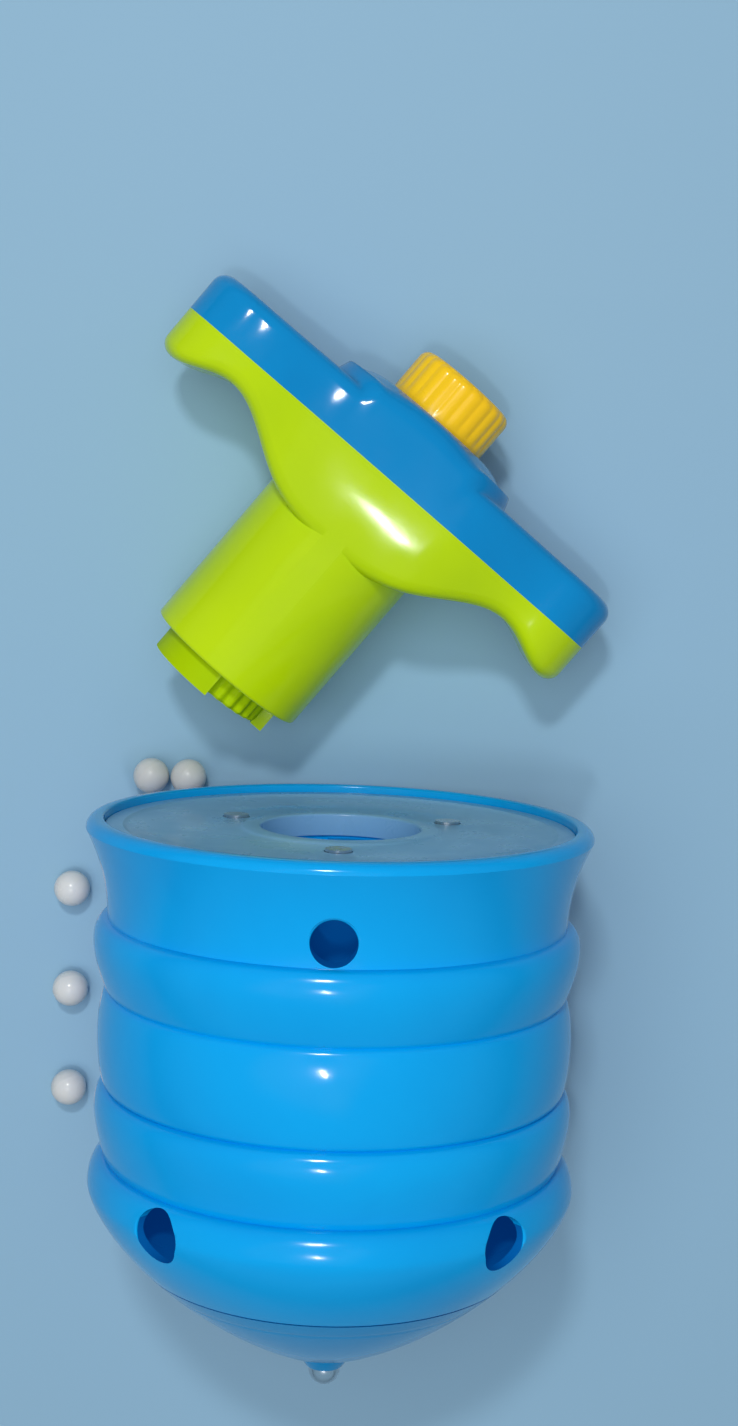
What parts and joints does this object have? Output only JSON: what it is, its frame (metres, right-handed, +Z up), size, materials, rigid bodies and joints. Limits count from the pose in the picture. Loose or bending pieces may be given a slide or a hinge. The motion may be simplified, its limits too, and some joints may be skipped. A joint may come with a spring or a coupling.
{
  "type": "toy spinning top with launcher",
  "caption": "Round banded spinning top with pellet ports, lying beside its T-handled wind-up launcher and loose pellets.",
  "frame": {"origin": "centre of the set's footprint, on the table that it lies on", "axes": "+Z up from the table, +Y along the top's axis from its tip to its rim, +X to the right"},
  "size_m": [0.0904, 0.1708, 0.0756],
  "materials": {
    "top_blue": "gloss",
    "base_blue": "gloss",
    "lid_grey": "gloss",
    "launcher_green": "gloss",
    "cover_blue": "gloss",
    "button_yellow": "gloss",
    "pellet_white": "satin",
    "screw_steel": "satin",
    "spring_steel": "satin",
    "cell_steel": "polished",
    "brass": "satin",
    "board_green": "satin",
    "black_plastic": "satin",
    "led_white": "gloss",
    "lead_red": "satin",
    "ivory_plastic": "satin"
  },
  "bodies": {
    "top": {"upper_shell": "top_blue", "main_shell": "top_blue", "pellet_shelf": "base_blue", "base_cap": "base_blue", "top_lid": "lid_grey", "launch_hub": "top_blue", "lid_screws": "screw_steel", "ball_core": "base_blue", "spin_tip": "screw_steel", "circuit_board": "board_green", "leds": "led_white", "speaker": "black_plastic", "sound_chip": "black_plastic", "battery_holder": "black_plastic", "battery_contacts": "brass", "button_cells": "cell_steel", "battery_cover": "black_plastic", "battery_screw": "screw_steel", "battery_leads": "lead_red", "switch_case": "black_plastic", "switch_spring": "spring_steel"},
    "switch_slug": {"switch_weight": "brass"},
    "launcher": {"launcher_body": "launcher_green", "launcher_cover": "cover_blue", "button_spring": "spring_steel", "axle_bush": "brass", "mainspring": "spring_steel", "spring_washer": "screw_steel", "bearing_plate": "screw_steel", "catch_pin": "screw_steel", "catch_spring": "spring_steel", "handle_screws": "screw_steel"},
    "button": {"release_button": "button_yellow"},
    "catch": {"catch_lever": "ivory_plastic"},
    "rotor": {"claw_rotor": "launcher_green", "rotor_axle": "screw_steel", "spring_arbor": "ivory_plastic", "ratchet_wheel": "ivory_plastic", "axle_clip": "screw_steel"},
    "pellet_1": {"ball_1": "pellet_white"},
    "pellet_2": {"ball_2": "pellet_white"},
    "pellet_3": {"ball_3": "pellet_white"},
    "pellet_4": {"ball_4": "pellet_white"},
    "pellet_5": {"ball_5": "pellet_white"}
  },
  "joints": [
    {"name": "launcher_lift", "type": "slide", "parent": "top", "child": "launcher", "axis": [0, 0, 1], "range_m": [0, 0.06]},
    {"name": "button_press", "type": "slide", "parent": "launcher", "child": "button", "axis": [-0.6293, -0.7771, 0], "range_m": [0, 0.002], "stiffness_N_per_m": 300, "deforming": ["button_spring"]},
    {"name": "catch_turn", "type": "hinge", "parent": "launcher", "child": "catch", "pos_m": [0.01728, 0.03979, 0.0097], "axis": [0.6293, 0.7771, 0], "range_deg": [0, 8.6], "deforming": ["catch_spring"]},
    {"name": "rotor_spin", "type": "hinge", "parent": "launcher", "child": "rotor", "pos_m": [0.00838, 0.05343, 0.0142], "axis": [-0.6293, -0.7771, 0], "continuous": true},
    {"name": "switch_throw", "type": "slide", "parent": "top", "child": "switch_slug", "axis": [1, 0, 0], "range_m": [0, 0.0015], "stiffness_N_per_m": 8, "deforming": ["switch_spring"]},
    {"name": "pellet_1_lift", "type": "slide", "parent": "top", "child": "pellet_1", "axis": [0, 0, 1], "range_m": [0, 0.05]},
    {"name": "pellet_2_lift", "type": "slide", "parent": "top", "child": "pellet_2", "axis": [0, 0, 1], "range_m": [0, 0.05]},
    {"name": "pellet_3_lift", "type": "slide", "parent": "top", "child": "pellet_3", "axis": [0, 0, 1], "range_m": [0, 0.05]},
    {"name": "pellet_4_roll", "type": "slide", "parent": "top", "child": "pellet_4", "axis": [0, 1, 0], "range_m": [0, 0.01]},
    {"name": "pellet_5_roll", "type": "slide", "parent": "top", "child": "pellet_5", "axis": [0, 1, 0], "range_m": [0, 0.01]}
  ],
  "couplings": [
    {"joint": "catch_turn", "follows": "button_press", "rad_per_m": 74.177}
  ]
}
